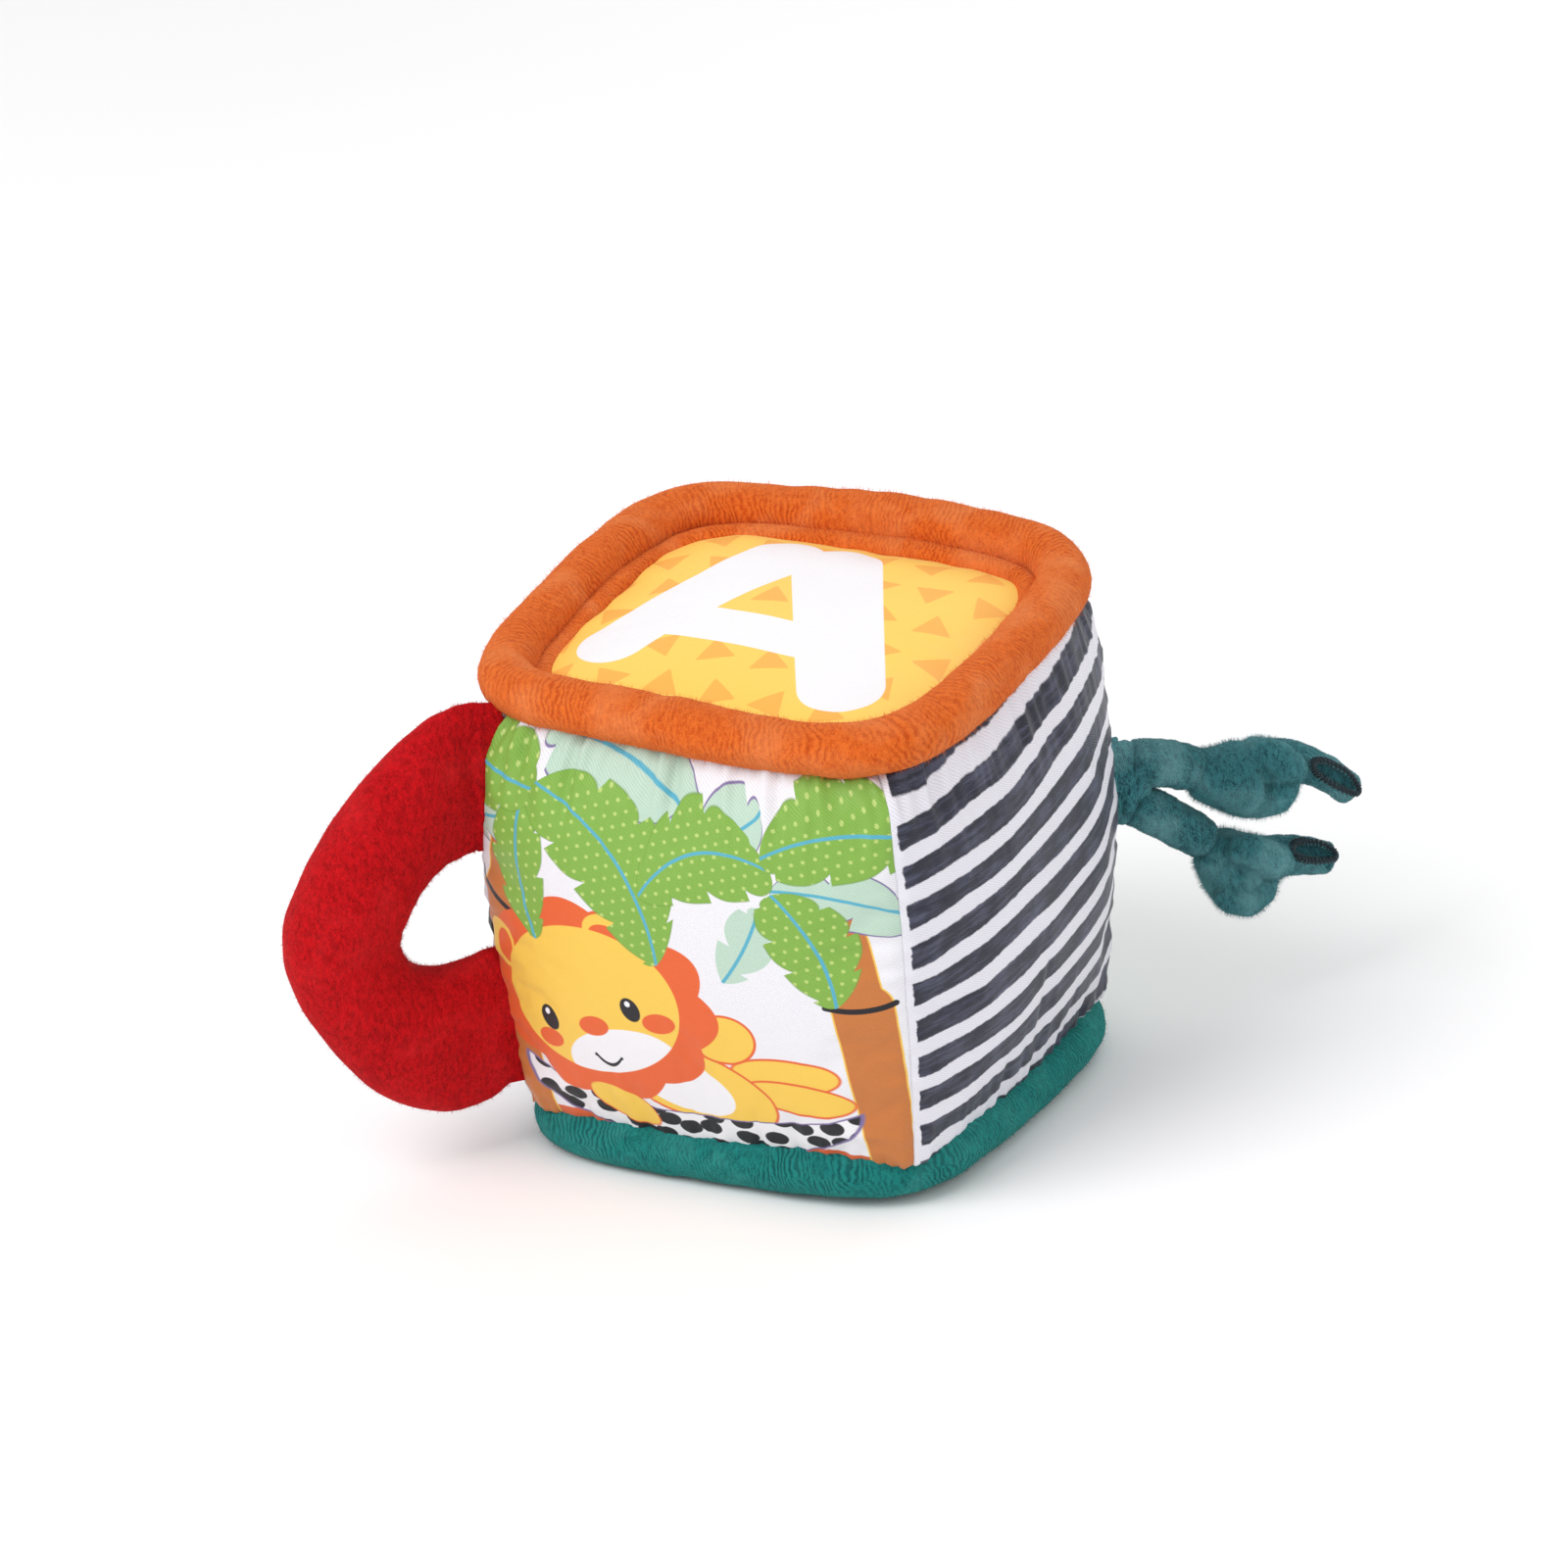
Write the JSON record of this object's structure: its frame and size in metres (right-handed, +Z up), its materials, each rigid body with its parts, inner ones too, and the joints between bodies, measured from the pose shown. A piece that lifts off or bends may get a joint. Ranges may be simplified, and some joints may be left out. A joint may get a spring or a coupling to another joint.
{
  "type": "soft activity cube",
  "caption": "Soft stuffed fabric block with plush rims, a padded grab handle on one upright seam, two knotted plush legs on the opposite seam and a rattle inside.",
  "frame": {"origin": "on the resting plane, under the middle of the block's bottom panel", "axes": "+Z up through the block; the picture panel faces -Y and the striped panel faces +X; the handle leaves the (-X,-Y) seam and the legs leave the (+X,+Y) seam"},
  "size_m": [0.1915, 0.1915, 0.1253],
  "materials": {
    "printed_satin": "white polyester satin with a printed jungle picture",
    "spotted_satin": "white satin printed with black spots",
    "striped_satin": "white satin printed with dark stripes",
    "yellow_satin": "yellow satin",
    "orange_plush": "short-pile plush, orange",
    "teal_plush": "short-pile plush, teal",
    "fibre_filling": "polyester fibre filling",
    "rattle_shell": "moulded polypropylene",
    "rattle_bead": "hard plastic beads",
    "crinkle_film": "thin crackling plastic film",
    "red_plush": "short-pile plush, red",
    "dark_teal_plush": "short-pile plush, dark teal",
    "edging_thread": "overlock thread, dark"
  },
  "bodies": {
    "cube": {"back_panel": "printed_satin", "bottom_panel": "yellow_satin", "bottom_rim_cord": "fibre_filling", "bottom_rim_cover": "teal_plush", "crinkle_film": "crinkle_film", "front_panel": "printed_satin", "handle_lower_tab": "red_plush", "handle_upper_tab": "red_plush", "left_panel": "spotted_satin", "leg_seam_tab": "dark_teal_plush", "lower_filling": "fibre_filling", "rattle_capsule_lower": "rattle_shell", "rattle_capsule_upper": "rattle_shell", "right_panel": "striped_satin", "top_panel": "yellow_satin", "top_rim_cord": "fibre_filling", "top_rim_cover": "orange_plush", "top_rim_inner_roll": "orange_plush", "upper_filling": "fibre_filling"},
    "rattle_beads": {"rattle_beads": "rattle_bead"},
    "handle": {"handle_front_cover": "red_plush", "handle_back_cover": "red_plush", "handle_filling": "fibre_filling"},
    "leg_root": {"leg_fold": "dark_teal_plush"},
    "upper_leg": {"upper_leg_strap": "dark_teal_plush"},
    "upper_leg_end": {"upper_leg_knot": "dark_teal_plush", "upper_leg_tail": "dark_teal_plush", "upper_tail_edging": "edging_thread"},
    "lower_leg": {"lower_leg_strap": "dark_teal_plush"},
    "lower_leg_end": {"lower_leg_knot": "dark_teal_plush", "lower_leg_tail": "dark_teal_plush", "lower_tail_edging": "edging_thread"}
  },
  "joints": [
    {"name": "handle_swing", "type": "hinge", "parent": "cube", "child": "handle", "pos_m": [-0.05577, -0.05577, 0.06235], "axis": [0, 0, 1], "range_deg": [-40, 40], "stiffness_Nm_per_rad": 0.02},
    {"name": "legs_swing", "type": "hinge", "parent": "cube", "child": "leg_root", "pos_m": [0.05627, 0.05627, 0.0648], "axis": [0, 0, 1], "range_deg": [-30, 30], "stiffness_Nm_per_rad": 0.012},
    {"name": "upper_leg_lift", "type": "hinge", "parent": "leg_root", "child": "upper_leg", "pos_m": [0.06087, 0.06087, 0.0704], "axis": [0.7071, -0.7071, 0], "range_deg": [-6, 60], "stiffness_Nm_per_rad": 0.012},
    {"name": "lower_leg_lift", "type": "hinge", "parent": "leg_root", "child": "lower_leg", "pos_m": [0.06087, 0.06087, 0.0592], "axis": [0.7071, -0.7071, 0], "range_deg": [-25, 6], "stiffness_Nm_per_rad": 0.012},
    {"name": "upper_leg_bend", "type": "hinge", "parent": "upper_leg", "child": "upper_leg_end", "pos_m": [0.06865, 0.06865, 0.0679], "axis": [0.7071, -0.7071, 0], "range_deg": [-10, 35], "stiffness_Nm_per_rad": 0.01},
    {"name": "lower_leg_bend", "type": "hinge", "parent": "lower_leg", "child": "lower_leg_end", "pos_m": [0.06971, 0.06971, 0.0482], "axis": [0.7071, -0.7071, 0], "range_deg": [-18, 15], "stiffness_Nm_per_rad": 0.01},
    {"name": "rattle_shake", "type": "slide", "parent": "cube", "child": "rattle_beads", "axis": [0, 0, 1], "range_m": [0, 0.021]}
  ]
}
